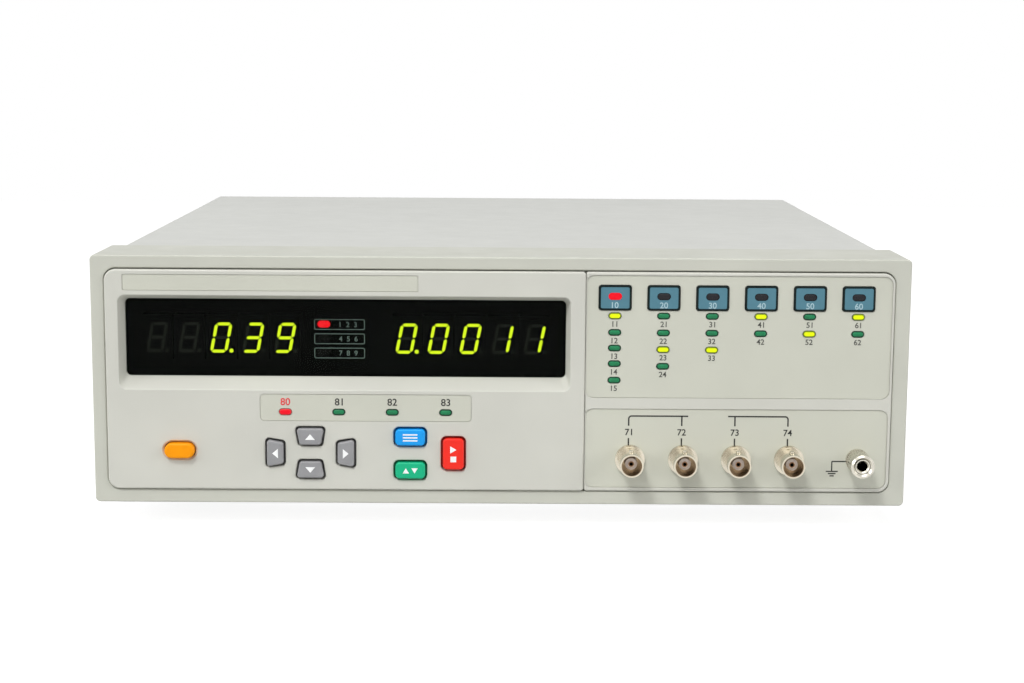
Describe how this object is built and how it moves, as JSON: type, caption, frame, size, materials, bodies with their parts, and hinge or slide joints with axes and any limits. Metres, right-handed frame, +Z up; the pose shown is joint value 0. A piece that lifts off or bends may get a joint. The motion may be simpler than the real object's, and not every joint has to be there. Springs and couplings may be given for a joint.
{
  "type": "component tester",
  "caption": "Benchtop component tester: flat case with a sunk digit display, push keys, indicator lamps, coaxial test jacks and a ground post.",
  "frame": {"origin": "under the middle of the whole part, on the surface that the feet stand on", "axes": "front faces -Y, +X to the right seen from the front, +Z up"},
  "size_m": [0.3366, 0.3658, 0.1133],
  "materials": {
    "bezel_plastic": "fine moulded texture",
    "panel_plastic": "fine moulded texture",
    "film": "smooth printed film",
    "window_plastic": "dark, clear and glossy",
    "cover_paint": "fine powder coat",
    "chassis_steel": "plated sheet",
    "rail_aluminium": "drawn bar",
    "screw_steel": "plated",
    "foot_plastic": "moulded, dark",
    "foot_rubber": "moulded, dark",
    "leg_plastic": "moulded, dark",
    "board_laminate": "solder mask",
    "digit_plastic": "dark face",
    "lamp_plastic": "tinted, clear",
    "unit_lamp_plastic": "tinted, clear",
    "switch_plastic": "moulded, dark",
    "flat_key_teal": "printed face with a black border",
    "arrow_key_grey": "moulded",
    "key_blue": "moulded",
    "key_green": "moulded",
    "key_red": "moulded",
    "button_orange": "moulded",
    "jack_nickel": "bright nickel",
    "insulator_white": "smooth",
    "contact_brass": "plated",
    "post_nickel": "nickel",
    "nut_steel": "plated",
    "inlet_plastic": "moulded, dark",
    "fuse_glass": "clear tube",
    "part_black": "moulded",
    "core_steel": "varnished sheets",
    "coil_tape": "yellow tape",
    "lead_grey": "smooth jacket"
  },
  "bodies": {
    "case": {"front_bezel": "bezel_plastic", "display_panel": "panel_plastic", "control_panel": "panel_plastic", "key_film": "film", "terminal_film": "film", "title_strip": "film", "sort_strip": "film", "display_window": "window_plastic", "top_cover": "cover_paint", "bottom_tray": "chassis_steel", "rear_panel": "cover_paint", "upper_rails": "rail_aluminium", "case_screws": "screw_steel", "inner_screws": "screw_steel", "front_feet": "foot_plastic", "rear_feet": "foot_rubber", "foot_screws": "screw_steel", "display_board": "board_laminate", "digit_modules": "digit_plastic", "unit_lights": "unit_lamp_plastic", "sort_lights": "lamp_plastic", "indicator_lights": "lamp_plastic", "left_key_board": "board_laminate", "right_key_board": "board_laminate", "key_switches": "switch_plastic", "power_switch": "switch_plastic", "bnc_shells": "jack_nickel", "bnc_insulators": "insulator_white", "bnc_contacts": "contact_brass", "terminal_nuts": "nut_steel", "ground_stud": "post_nickel", "power_inlet": "inlet_plastic", "inlet_pins": "contact_brass", "main_board": "board_laminate", "board_parts": "part_black", "board_standoffs": "contact_brass", "transformer_core": "core_steel", "transformer_coil": "coil_tape", "ribbon_cable": "lead_grey", "test_leads": "lead_grey"},
    "left_tilt_leg": {"left_tilt_leg": "leg_plastic"},
    "right_tilt_leg": {"right_tilt_leg": "leg_plastic"},
    "power_button": {"power_button": "button_orange"},
    "ground_washer": {"ground_washer": "post_nickel"},
    "ground_knob": {"ground_knob": "post_nickel"},
    "fuse_drawer": {"fuse_drawer": "inlet_plastic", "fuse": "fuse_glass"},
    "function_key": {"function_key": "key_blue"},
    "limit_key": {"limit_key": "key_green"},
    "start_key": {"start_key": "key_red"},
    "up_key": {"up_key": "arrow_key_grey"},
    "down_key": {"down_key": "arrow_key_grey"},
    "left_key": {"left_key": "arrow_key_grey"},
    "right_key": {"right_key": "arrow_key_grey"},
    "parameter_key": {"parameter_key": "flat_key_teal"},
    "frequency_key": {"frequency_key": "flat_key_teal"},
    "level_key": {"level_key": "flat_key_teal"},
    "range_key": {"range_key": "flat_key_teal"},
    "zero_key": {"zero_key": "flat_key_teal"},
    "readout_key": {"readout_key": "flat_key_teal"}
  },
  "joints": [
    {"name": "up_press", "type": "slide", "parent": "case", "child": "up_key", "axis": [0, 1, 0], "range_m": [0, 0.001], "stiffness_N_per_m": 1000, "springref_m": -0.0005},
    {"name": "down_press", "type": "slide", "parent": "case", "child": "down_key", "axis": [0, 1, 0], "range_m": [0, 0.001], "stiffness_N_per_m": 1000, "springref_m": -0.0005},
    {"name": "left_press", "type": "slide", "parent": "case", "child": "left_key", "axis": [0, 1, 0], "range_m": [0, 0.001], "stiffness_N_per_m": 1000, "springref_m": -0.0005},
    {"name": "right_press", "type": "slide", "parent": "case", "child": "right_key", "axis": [0, 1, 0], "range_m": [0, 0.001], "stiffness_N_per_m": 1000, "springref_m": -0.0005},
    {"name": "function_press", "type": "slide", "parent": "case", "child": "function_key", "axis": [0, 1, 0], "range_m": [0, 0.001], "stiffness_N_per_m": 1000, "springref_m": -0.0005},
    {"name": "limit_press", "type": "slide", "parent": "case", "child": "limit_key", "axis": [0, 1, 0], "range_m": [0, 0.001], "stiffness_N_per_m": 1000, "springref_m": -0.0005},
    {"name": "start_press", "type": "slide", "parent": "case", "child": "start_key", "axis": [0, 1, 0], "range_m": [0, 0.001], "stiffness_N_per_m": 1000, "springref_m": -0.0005},
    {"name": "parameter_press", "type": "slide", "parent": "case", "child": "parameter_key", "axis": [0, 1, 0], "range_m": [0, 0.0005], "stiffness_N_per_m": 2000, "springref_m": -0.0004},
    {"name": "frequency_press", "type": "slide", "parent": "case", "child": "frequency_key", "axis": [0, 1, 0], "range_m": [0, 0.0005], "stiffness_N_per_m": 2000, "springref_m": -0.0004},
    {"name": "level_press", "type": "slide", "parent": "case", "child": "level_key", "axis": [0, 1, 0], "range_m": [0, 0.0005], "stiffness_N_per_m": 2000, "springref_m": -0.0004},
    {"name": "range_press", "type": "slide", "parent": "case", "child": "range_key", "axis": [0, 1, 0], "range_m": [0, 0.0005], "stiffness_N_per_m": 2000, "springref_m": -0.0004},
    {"name": "zero_press", "type": "slide", "parent": "case", "child": "zero_key", "axis": [0, 1, 0], "range_m": [0, 0.0005], "stiffness_N_per_m": 2000, "springref_m": -0.0004},
    {"name": "readout_press", "type": "slide", "parent": "case", "child": "readout_key", "axis": [0, 1, 0], "range_m": [0, 0.0005], "stiffness_N_per_m": 2000, "springref_m": -0.0004},
    {"name": "power_press", "type": "slide", "parent": "case", "child": "power_button", "axis": [0, -1, 0], "range_m": [-0.001, 0.003]},
    {"name": "ground_lift", "type": "slide", "parent": "case", "child": "ground_washer", "axis": [0, -1, 0], "range_m": [0, 0.005]},
    {"name": "ground_turn", "type": "hinge", "parent": "ground_washer", "child": "ground_knob", "pos_m": [0.1482, -0.18285, 0.0296], "axis": [0, -1, 0], "range_deg": [0, 1800]},
    {"name": "fuse_slide", "type": "slide", "parent": "case", "child": "fuse_drawer", "axis": [0, 1, 0], "range_m": [0, 0.018]},
    {"name": "left_leg_fold", "type": "hinge", "parent": "case", "child": "left_tilt_leg", "pos_m": [-0.13, -0.10885, 0.0035], "axis": [-1, 0, 0], "range_deg": [0, 100]},
    {"name": "right_leg_fold", "type": "hinge", "parent": "case", "child": "right_tilt_leg", "pos_m": [0.13, -0.10885, 0.0035], "axis": [-1, 0, 0], "range_deg": [0, 100]}
  ],
  "couplings": [
    {"joint": "ground_turn", "follows": "ground_lift", "rad_per_m": 6283.2}
  ]
}
